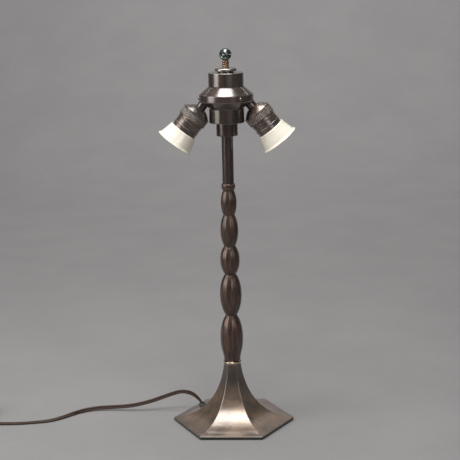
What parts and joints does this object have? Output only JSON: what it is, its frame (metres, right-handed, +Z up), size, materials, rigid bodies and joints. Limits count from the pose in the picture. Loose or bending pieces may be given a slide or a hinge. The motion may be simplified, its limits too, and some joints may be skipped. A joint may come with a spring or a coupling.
{
  "type": "table lamp",
  "caption": "Table lamp with a hexagonal trumpet foot, a beaded stem, a round cluster with downward-slanting lampholders in porcelain skirts, and a threaded rod for a shade.",
  "frame": {"origin": "on the lamp's axis at the level of the table, under the centre of the foot", "axes": "+Z up along the stem; the foot's corners lie on X, its flat sides face -Y and +Y, and the lampholders point to +X and -X, turned 5 degrees about Z"},
  "size_m": [0.5236, 0.1927, 0.5166],
  "materials": {
    "foot_bronze": "patinated cast bronze, satin",
    "felt": "matt felt",
    "iron": "rough cast",
    "bright_brass": "polished",
    "stem_bronze": "dark patinated bronze with worn ridges",
    "tube_bronze": "dark patinated, satin",
    "raw_brass": "dull turned",
    "steel": "dull",
    "lead_fabric": "matt",
    "cluster_bronze": "brown patina over spun brass",
    "screw_steel": "worn",
    "rod_brass": "worn thread",
    "washer_metal": "satin",
    "ball_metal": "blackened, polished",
    "arm_bronze": "dark",
    "holder_brass": "brown patina over brass, satin",
    "porcelain": "cream glaze",
    "insert_porcelain": "white, unglazed",
    "contact_brass": "bright",
    "grommet": "aged, greenish",
    "cord_sheath": "brown twin flex",
    "tie": "matt",
    "plug_black": "moulded, dark brown",
    "pin_nickel": "nickel plated"
  },
  "bodies": {
    "root": {"foot": "foot_bronze", "base_felt": "felt", "ballast": "iron", "foot_ring": "bright_brass", "stem": "stem_bronze", "stem_tube": "tube_bronze", "tube_collar": "tube_bronze", "lamp_pipe": "raw_brass", "pipe_washer": "steel", "pipe_nut": "steel", "cup_nut": "steel", "inner_leads": "lead_fabric", "lower_cup": "cluster_bronze", "cover": "cluster_bronze", "cover_screws": "screw_steel", "top_cap": "cluster_bronze", "shade_rod": "rod_brass", "rod_nut": "raw_brass", "arm_left": "arm_bronze", "arm_right": "arm_bronze", "dome_left": "holder_brass", "dome_right": "holder_brass", "knurl_ring_left": "holder_brass", "knurl_ring_right": "holder_brass", "barrel_left": "holder_brass", "barrel_right": "holder_brass", "skirt_left": "porcelain", "skirt_right": "porcelain", "insert_left": "insert_porcelain", "insert_right": "insert_porcelain", "shell_left": "raw_brass", "shell_right": "raw_brass", "contact_left": "contact_brass", "contact_right": "contact_brass", "cord_grommet": "grommet", "cord": "cord_sheath", "cord_coil": "cord_sheath", "cord_tail": "cord_sheath", "coil_tie": "tie", "cord_relief": "plug_black", "plug_body": "plug_black", "plug_pins": "pin_nickel"},
    "washer": {"shade_washer": "washer_metal"},
    "stud": {"ball_stud": "ball_metal"},
    "ball": {"ball_nut": "ball_metal"}
  },
  "joints": [
    {"name": "washer_lift", "type": "slide", "parent": "root", "child": "washer", "axis": [0, 0, 1], "range_m": [0, 0.0095]},
    {"name": "stud_rise", "type": "slide", "parent": "root", "child": "stud", "axis": [0, 0, 1], "range_m": [0, 0.006]},
    {"name": "ball_turn", "type": "hinge", "parent": "stud", "child": "ball", "pos_m": [0, 0, 0.5086], "axis": [0, 0, 1], "range_deg": [0, 2700]}
  ],
  "couplings": [
    {"joint": "stud_rise", "follows": "ball_turn", "m_per_rad": 0.00012732}
  ]
}
